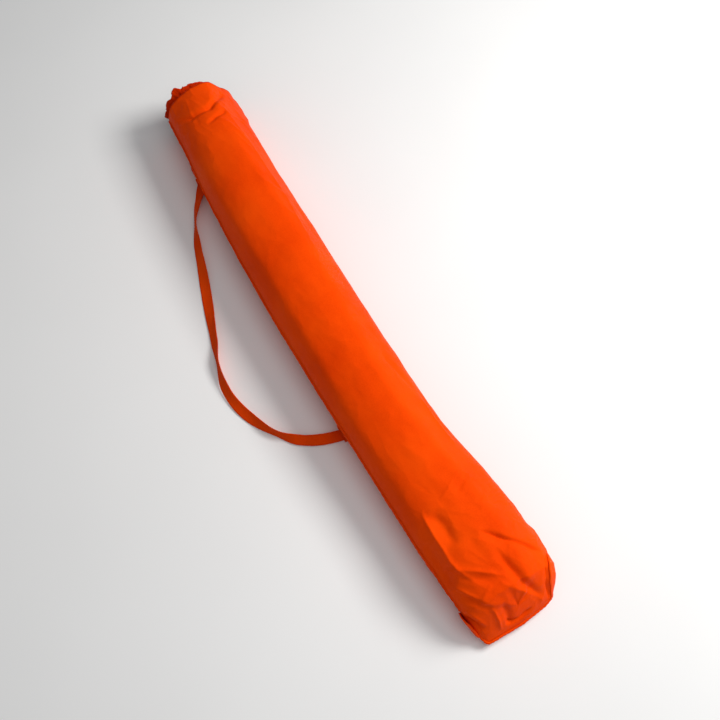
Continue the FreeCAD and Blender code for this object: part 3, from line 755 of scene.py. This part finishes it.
def strap_end(name, x, node_name):
    """The sewn-down end of the strap: a doubled tab on the lower flank that turns out along the floor."""
    half = STRAP_WIDTH / 2.0 + 0.001
    rows = []
    for place in (-half, -half * 0.55, 0.0, half * 0.55, half):
        lift = 0.0024 if abs(place) < half * 0.9 else 0.0016
        line = [skin(x + place, angle, lift) for angle in range(-8, -49, -8)]
        foot = ((0.003, 0.0034), (0.010, 0.0022), (0.016, 0.0020))
        rows.append(line + [Vector((x + place, line[-1].y + out, height)) for out, height in foot])
    tab = grid_object(name, rows, TAPE, 0.0014)
    placed(tab, "bag", "strap_webbing", node_name)
    sides = (-half * 0.75, half * 0.75)
    sewn = [[skin(x + side, angle, 0.0027) for angle in range(-10, -46, -3)] for side in sides]
    sewn += [[skin(x + k * half / 6.0, angle, 0.0027) for k in range(-4, 5)] for angle in (-10, -26, -44)]
    stitches = [[a, a.lerp(b, 0.7)] for points in sewn for a, b in zip(points, points[1:])]
    sewing(name + "_stitching", stitches, 0.0003, "strap_webbing")


# ---- seams and the corners of the base ----------------------------------------------------------
SEAM_START = -0.566          # how far up the flanks the base's sewn edge shows
# x and angle along the free edge of each corner's fold
RIGHT_CORNER = [(-0.526, 160), (-0.534, 151), (-0.548, 142), (-0.568, 141), (-0.580, 152), (-0.588, 164)]
LEFT_CORNER = [(-0.536, -4), (-0.548, 6), (-0.562, 14), (-0.574, 16), (-0.582, 10)]


def on_cloth(grid, normal, row, column, height):
    """A point over the cloth, at a fractional column of its grid."""
    low = int(column // 1)
    t = column - low
    place, outward = (
        field[row, low % COLUMNS] * (1 - t) + field[row, (low + 1) % COLUMNS] * t for field in (grid, normal))
    return place + outward * height


def side_seam(grid, normal):
    """The felled seam: a doubled welt along the bag, puckered between its two rows of stitches."""
    rows = [i for i in range(grid.shape[0]) if grid[i, 0, 0] > BASE_X - 0.035]
    shape = [(-0.0048, 0.0002), (-0.0042, 0.0014), (-0.0022, 0.0011), (0.0, 0.0010),
             (0.0022, 0.0012), (0.0042, 0.0018), (0.0048, 0.0002)]
    strip, lower, upper = [], [], []
    for i in rows:
        x = grid[i, 0, 0]
        spacing = float(np.linalg.norm(grid[i, 1] - grid[i, 0]))
        pucker = 0.0003 * sin(x * tau / 0.011) + 0.0004 * waver(x * 60.0, 0.0, 9.0)
        strip.append([on_cloth(grid, normal, i, away / spacing, rise + (pucker if rise > 0.0005 else 0.0))
                      for away, rise in shape])
        lower.append(on_cloth(grid, normal, i, -0.0032 / spacing, 0.0018 + pucker))
        upper.append(on_cloth(grid, normal, i, 0.0032 / spacing, 0.0021 + pucker))
    welt = grid_object("side_seam_welt", strip, NYLON, 0.0005)
    placed(welt, "bag", "bag_nylon", "side_seam")
    sewing("side_seam_stitching", stitched(lower) + stitched(upper), 0.00028, "bag_nylon")


def stitched(line):
    """Short threads along a line of points, one to each stitch."""
    count = int(run_lengths(line)[-1] / STITCH)
    return [points_at(line, [STITCH * (k + share) for share in (0, 0.35, 0.7)]) for k in range(count)]


def base_edge():
    """The line of the base's sewn edge: along one flank's widest level, round the end, and back."""
    end = PROFILE[0][0]
    places = np.linspace(SEAM_START, end, 16)
    line = [skin(x, 180.0) for x in places]
    line += [skin(end, angle) for angle in range(165, 14, -15)]
    line += [skin(x, 0.0) for x in reversed(places)]
    return points_at(line, np.arange(0.0, run_lengths(line)[-1], 0.0022))


def base_seam():
    """The base's sewn edge: a narrow raised welt, puckered by its stitches, that fades out on both flanks."""
    line = base_edge()
    shape = [
        (-0.0012, 0.0034), (0.0008, 0.0020), (0.0018, 0.0006), (0.0020, -0.0006), (0.0012, -0.0020),
        (-0.0010, -0.0030),
    ]
    rows, threads = [], []
    for i, p in enumerate(line):
        ahead = ahead_at(line, i)
        outward = UP.cross(ahead).normalized()
        share = (i + 0.5) / len(line)
        full = smooth(share / 0.18) * smooth((1.0 - share) / 0.18)
        pucker = 0.00035 * sin(i * 1.9) + 0.0008 * waver(i * 0.16, 5.0, 4.0)
        row = []
        for out, rise in shape:
            proud = out + (pucker if out > 0.0 else 0.0)
            row.append(p + outward * (0.0004 + proud * full) + Vector((0.0, 0.0, rise)))
        rows.append(row)
        threads.append(p + outward * (0.0004 + 0.0017 * full) + Vector((0.0, 0.0, 0.0016)))
    welt = grid_object("base_seam_welt", rows, NYLON, 0.0006)
    placed(welt, "bag", "bag_nylon", "base_seam")
    sewing("base_seam_stitching", stitched(threads[12:-12]), 0.00028, "bag_nylon")


def corner_fold(name, node_name, edge, lower, stand):
    """A folded corner of the base: a flap of cloth on the flank, whose upper edge stands a little off it."""
    places, angles = zip(*edge)
    rows = []
    count, across = 48, 24
    for i in range(count + 1):
        t = i / count
        x = places[0] + (places[-1] - places[0]) * t
        upper = float(np.interp(-x, [-v for v in places], angles))
        full = sin(pi * min(1.0, max(0.0, 0.02 + 0.96 * t))) ** 0.5
        row = []
        for j in range(across + 1):
            share = j / across
            angle = upper + (lower - upper) * share
            hem = exp(-((share - 0.06) / 0.05) ** 2)
            belly = stand * full * (1.0 - share) ** 0.8 + 0.0008
            uneven = 0.0009 * full * waver(x * 90.0, angle * 0.11, 7.0)
            row.append(skin(x, angle, belly + 0.0008 * hem * full + uneven))
        rows.append(row)
    flap = grid_object(name, rows, NYLON, 0.0010)
    placed(flap, "bag", "bag_nylon", node_name)


# ---- the drawn mouth ----------------------------------------------------------------------------
PETALS = 16
HEM_RADIUS = (HEM_HIGH.z - HEM_LOW.z) / 2
FRILL_RADIUS = (FRILL_HIGH.z - FRILL_LOW.z) / 2
VALLEY_RADIUS = 0.0225       # how far in the bunched cloth reaches: it stays clear of the mast
PLEATS = 23                  # pleats all round the neck
OVERLAP = 1.08               # how much wider each gather is than its share of the rim
LAYERS = (-0.0009, 0.0003, -0.0003, 0.0009)   # how far out each gather lies, so that neighbours pass

# from the rim to the neck: distance beyond the rim, share of the way in, and share of the pleats' depth
MOUTH_PATH = [
    (0.0, 0.00, 0.00), (0.0022, 0.03, 0.03), (0.0042, 0.10, 0.10), (0.0060, 0.22, 0.22), (0.0074, 0.38, 0.42),
    (0.0086, 0.56, 0.62), (0.0098, 0.74, 0.82), (0.0112, 0.88, 0.95), (0.0130, 0.97, 1.00),
    (0.0155, 0.99, 1.00), (0.0180, 0.96, 1.00), (0.0205, 0.99, 1.00), (0.0228, 1.00, 0.98),
]
# from the neck to the frill's free edge: the same three, with the share of the way out
FRILL_PATH = [
    (0.0242, 0.14, 0.85), (0.0254, 0.34, 0.62), (0.0266, 0.54, 0.46), (0.0278, 0.72, 0.36),
    (0.0288, 0.87, 0.30), (0.0294, 0.96, 0.30), (0.0298, 1.00, 0.30), (0.0302, 0.985, 0.30),
]


def pleat_radius(turn, phase):
    """How far from the mast's line the bunched cloth lies, in a direction round it."""
    fold = abs(sin(PLEATS * turn / 2.0 + 0.9 * sin(3.0 * turn) + phase)) ** 0.75
    return VALLEY_RADIUS + (HEM_RADIUS - 0.0020 - VALLEY_RADIUS) * fold


def frill_radius(turn):
    """The frill's free edge: a few unequal lobes, with one deep notch where the cloth is pulled in."""
    lobes = 0.0034 * cos(5.0 * turn + 0.4) + 0.0020 * cos(9.0 * turn + 1.9)
    away = atan2(sin(turn - 1.33), cos(turn - 1.33))
    return FRILL_RADIUS + 0.001 + lobes - 0.009 * exp(-(away / 0.10) ** 2)


def rim_radius(ring, turn):
    """Distance from the mast's line to the bag's rim, in a direction round it."""
    y, z = ring[:, 1] - MAST_Y, ring[:, 2] - MAST_Z
    angles = np.arctan2(z, y)
    order = np.argsort(angles)
    return float(np.interp(turn, angles[order], np.hypot(y, z)[order], period=tau))


def reach_of(radius, side):
    """How far along a gather's own direction a point lies that is this far from the mast's line."""
    return sqrt(max(radius * radius - side * side, 0.0001))


def petal(index, ring):
    """One gather of the mouth. It stays wide down to the neck, so that opened gathers make a whole tube."""
    middle = tau * index / PETALS
    radial = Vector((0.0, cos(middle), sin(middle)))
    tangent = Vector((0.0, -sin(middle), cos(middle)))
    centre = Vector((RIM_X, MAST_Y, MAST_Z))

    def cloth_point(step, reach, side):
        return centre + Vector((step, 0.0, 0.0)) + radial * reach + tangent * side

    half_turn = pi / PETALS * OVERLAP
    across = 24
    layer = LAYERS[index % 4]
    phase = layer * 600.0
    stops = []
    for j in range(across + 1):
        turn = half_turn * (2.0 * j / across - 1.0)
        rim = rim_radius(ring, middle + turn)
        side = rim * sin(turn)
        neck_turn, frill_turn = (middle + asin(side / radius) for radius in (HEM_RADIUS, FRILL_RADIUS))
        stops.append((side, rim * cos(turn), neck_turn, frill_turn))
    rows = []
    for step, inward, depth in MOUTH_PATH:
        row = []
        for side, rim_reach, turn, _ in stops:
            inner = HEM_RADIUS + (pleat_radius(turn, phase) - HEM_RADIUS) * depth + layer
            reach = rim_reach + (reach_of(inner, side) - rim_reach) * inward
            row.append(cloth_point(step + 0.0012 * sin(7.0 * turn) * inward, reach, side))
        rows.append(row)
    for step, outward, depth in FRILL_PATH:
        row = []
        for side, _, turn, spread in stops:
            inner = pleat_radius(turn, phase) * depth + (1.0 - depth) * (VALLEY_RADIUS + 0.006)
            radius = inner + (frill_radius(spread) - inner) * outward + layer
            ruffle = 0.0011 * cos(11.0 * spread + 1.0) * outward
            ruffle += 0.0012 * sin(PLEATS * turn) * depth
            row.append(cloth_point(step + ruffle + layer, reach_of(radius, side), side))
        rows.append(row)
    # the gathers take the darker nylon, whose colour is painted shade
    made = grid_object("mouth_gather_%02d" % (index + 1), rows, SHADED_GATHER_NYLON, 0.0006, side=0.0)
    bpy.context.view_layer.update()
    thick = bpy.data.meshes.new_from_object(made.evaluated_get(bpy.context.evaluated_depsgraph_get()))
    made.modifiers.clear()
    made.data = thick
    placed(made, "bag", "bag_nylon")
    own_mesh(made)
    return made


def mouth(grid):
    petals = [petal(index, grid[-1]) for index in range(PETALS)]
    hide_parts("mouth_shoulder", "mouth_hem", "mouth_frill")


# ---- the drawcord -------------------------------------------------------------------------------
def braided(name, points, radius):
    """A round braided cord along the points, with the braid's crossing ridges in its surface."""
    length = run_lengths(points)[-1]
    count, sides = max(3, int(length / 0.0004)), 16
    at = np.linspace(0.0, length, count)

    def ridged(i, turn):
        twist = at[i] / radius * 1.1
        ridge = sin(4.0 * turn + 4.0 * twist) * sin(4.0 * turn - 4.0 * twist)
        return radius * (0.95 + 0.07 * ridge)

    verts = swept(points_at(points, at), sides, Vector((1.0, 0.0, 0.0)), ridged)
    uvs = [(place, tau * j / sides * radius) for place in at for j in range(sides)]
    return new_object(name, verts, tube_faces(count, sides), ROPE, uvs)


def cords():
    eyelet_low, eyelet_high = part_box("cord_eyelet")
    ring_x = (eyelet_low.x + eyelet_high.x) / 2
    height = (eyelet_low.z + eyelet_high.z) / 2
    clear_y = ROLL_LOW.y - 0.0016
    inner_y = eyelet_high.y + 0.001
    tail_y = TAIL_ROUTE[0][0]
    ends, roots = [], []
    for side in (-1, 1):
        x = ring_x + side * CORD_APART / 2
        ends.append([Vector((x, y, height)) for y in (clear_y, (clear_y + tail_y) / 2, tail_y)])
        roots.append([Vector((x, y, height)) for y in (inner_y, (clear_y + inner_y) / 2, clear_y)])
    for k, (name, lines) in enumerate((("drawcord_ends", ends), ("drawcord_roots", roots))):
        pieces = [braided(name + "_" + letter, line, CORD / 2) for letter, line in zip("ab", lines)]
        for piece in pieces:
            placed(piece, "bag", "cord")
            if k == 0:
                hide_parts("drawcord")
            else:
                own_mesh(piece)
    eyelet = eyelet_object(ring_x, height, eyelet_low.y, eyelet_high.y)
    placed(eyelet, "bag", "steel", "cord_eyelet")
    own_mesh(eyelet)
    for side, letter in ((-1, "a"), (1, "b")):
        x = ring_x + side * CORD_APART / 2
        route = [(x, y, z) for y, z in TAIL_ROUTE]
        points = spline_points(route)
        tail = braided("drawcord_tail_" + letter, points, CORD / 2)
        placed(tail, "bag", "cord", "cord_tail_" + letter)


def lock_spring():
    """The spring under the lock's button: a coil of steel wire that fills the spring's box."""
    low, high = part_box("lock_spring")
    wire = 0.0004
    radius = (high.x - low.x) / 2 - wire
    middle_x, middle_y = (low.x + high.x) / 2, (low.y + high.y) / 2
    coils, per_coil = 6, 28
    line = []
    for k in range(coils * per_coil + 1):
        share = k / (coils * per_coil)
        turn = tau * coils * share
        rise = smooth((share - 0.08) / 0.84)
        z = low.z + wire + (high.z - low.z - 2.0 * wire) * rise
        line.append(Vector((middle_x + radius * cos(turn), middle_y + radius * sin(turn), z)))
    verts, faces = tube_mesh([line], wire, 8)
    coil = new_object("pressed_spring", verts, faces, STEEL)
    placed(coil, "cord_lock", "steel", "lock_spring")
    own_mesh(coil)


def eyelet_object(x, height, low_y, high_y):
    """A rolled steel eyelet: a turned profile of (radius, y) points."""
    rolled = [(0.0046, 0.0006), (0.0049, 0.0001), (0.0056, -0.0001), (0.0064, 0.0001), (0.0069, 0.0005),
              (0.0069, 0.0010), (0.0060, 0.0011), (0.0050, 0.0012)]
    profile = [(0.0046, high_y)] + [(radius, low_y + out) for radius, out in rolled] + [(0.0050, high_y)]
    sides = 48
    turns = [tau * j / sides for j in range(sides)]
    verts = [
        Vector((x + radius * cos(turn), y, height + radius * sin(turn)))
        for radius, y in profile for turn in turns
    ]
    faces = grid_faces(len(profile), sides, True)
    last = (len(profile) - 1) * sides
    faces += [(j, last + j, last + (j + 1) % sides, (j + 1) % sides) for j in range(sides)]
    return new_object("rolled_eyelet", verts, faces, STEEL)


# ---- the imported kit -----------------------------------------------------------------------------
def oval_of(low, high):
    """Middle and half sizes of the oval that just fits inside a box, across the bag."""
    middle, half = (low + high) / 2, (high - low) / 2
    return middle.y, middle.z, half.y - 0.0003, half.z - 0.0003


def sock_roll():
    """The windsock's cloth, flattened and rolled round the mast: a spiral of several turns."""
    turns, per_turn, rows_x = 6.4, 64, 26
    count = int(turns * per_turn)
    outer_y, outer_z, wide, high = oval_of(ROLL_LOW, ROLL_HIGH)
    inner = 0.0222
    grid = []
    for i in range(rows_x + 1):
        t = i / rows_x
        row = []
        for k in range(count + 1):
            share = k / count
            turn = tau * turns * share - 0.6
            grow = share * turns / (turns - 1.0) if share < (turns - 1.0) / turns else 1.0
            y = MAST_Y + (outer_y - MAST_Y) * grow
            z = MAST_Z + (outer_z - MAST_Z) * grow
            last_turn = turn - tau * (turns - 1.0)
            sink = 0.0007 * (1.0 - smooth(last_turn / 3.0)) if grow >= 1.0 else 0.0
            slack = 0.0004 * abs(waver(t * 14.0, cos(turn) * 2.0, sin(turn) * 2.0 + share * 8.0))
            ry = inner + (wide - inner) * grow - sink - slack
            rz = inner + (high - inner) * grow - sink - slack
            x = ROLL_LOW.x + (ROLL_HIGH.x - ROLL_LOW.x) * t
            ragged = 0.0035 * abs(waver(share * 9.0, 3.0 + t, 1.0))
            x += ragged * (1.0 - t) - ragged * t
            row.append((x, y + ry * cos(turn), z + rz * sin(turn)))
        grid.append(row)
    made = grid_object("rolled_windsock", grid, SOCK, 0.0012, side=1.0)
    placed(made, "windsock", "sock_nylon", "sock_roll")


def tie_strap(letter):
    """A hook-and-loop strap round the roll, with its doubled tongue."""
    low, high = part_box("tie_strap_" + letter)
    y, z, wide, tall = oval_of(low, high)
    columns, rows = 120, 8
    grid = []
    for i in range(rows + 1):
        x = low.x + (high.x - low.x) * i / rows
        edge = 0.0003 if i in (0, rows) else 0.0
        reach_y, reach_z = wide - edge - 0.0012, tall - edge - 0.0012
        turns = [tau * j / columns for j in range(columns)]
        grid.append([(x, y + reach_y * cos(turn), z + reach_z * sin(turn)) for turn in turns])
    band = grid_object("tie_band_" + letter, grid, BLACK_TAPE, 0.0005, closed=True)
    placed(band, "windsock", "tie_tape", "tie_strap_" + letter)
    tongue = []
    for i in range(rows + 1):
        x = low.x + 0.0012 + (high.x - low.x - 0.0024) * i / rows
        row = []
        for j in range(33):
            turn = radians(60.0 + 75.0 * j / 32)
            corner = 0.0 if 0 < j < 32 else -0.0007
            row.append((x, y + (wide + corner) * cos(turn), z + (tall + corner) * sin(turn)))
        tongue.append(row)
    flap = grid_object("tie_tongue_" + letter, tongue, BLACK_TAPE, 0.0008)
    placed(flap, "windsock", "tie_tape")


def bridle_loop():
    """The doubled tape that holds the bridle ring to the tail of the roll."""
    low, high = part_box("bridle_tab")
    y, z = (low.y + high.y) / 2, (low.z + high.z) / 2
    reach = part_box("bridle_ring")[1].x - 0.0032
    upper = [(high.x + 0.004, 0.0022), (high.x - 0.004, 0.0026), (reach, 0.0030), (reach - 0.0022, 0.0018)]
    shape = upper + [(reach - 0.0030, 0.0)] + [(x, -rise) for x, rise in reversed(upper)]
    grid = [[(x, y + side, z + rise) for x, rise in shape] for side in (-0.0028, -0.001, 0.001, 0.0028)]
    loop = grid_object("bridle_tape", grid, BLACK_TAPE, 0.0009)
    placed(loop, "windsock", "tie_tape", "bridle_tab")


# ---- making it ----------------------------------------------------------------------------------
dress_frame()
camera()
stage()
shoulder_strap()
strap_end("strap_end_upper", 0.426, "strap_patch_upper")
strap_end("strap_end_lower", -0.180, "strap_patch_lower")
cords()
lock_spring()
cloth_grid = bag_cloth()
cloth_normals = grid_normals(cloth_grid)
side_seam(cloth_grid, cloth_normals)
base_seam()
corner_fold("corner_fold_right", "dog_ear_right", RIGHT_CORNER, 214.0, 0.0020)
corner_fold("corner_fold_left", "dog_ear_left", LEFT_CORNER, -34.0, 0.0040)
mouth(cloth_grid)
sock_roll()
tie_strap("a")
tie_strap("b")
bridle_loop()
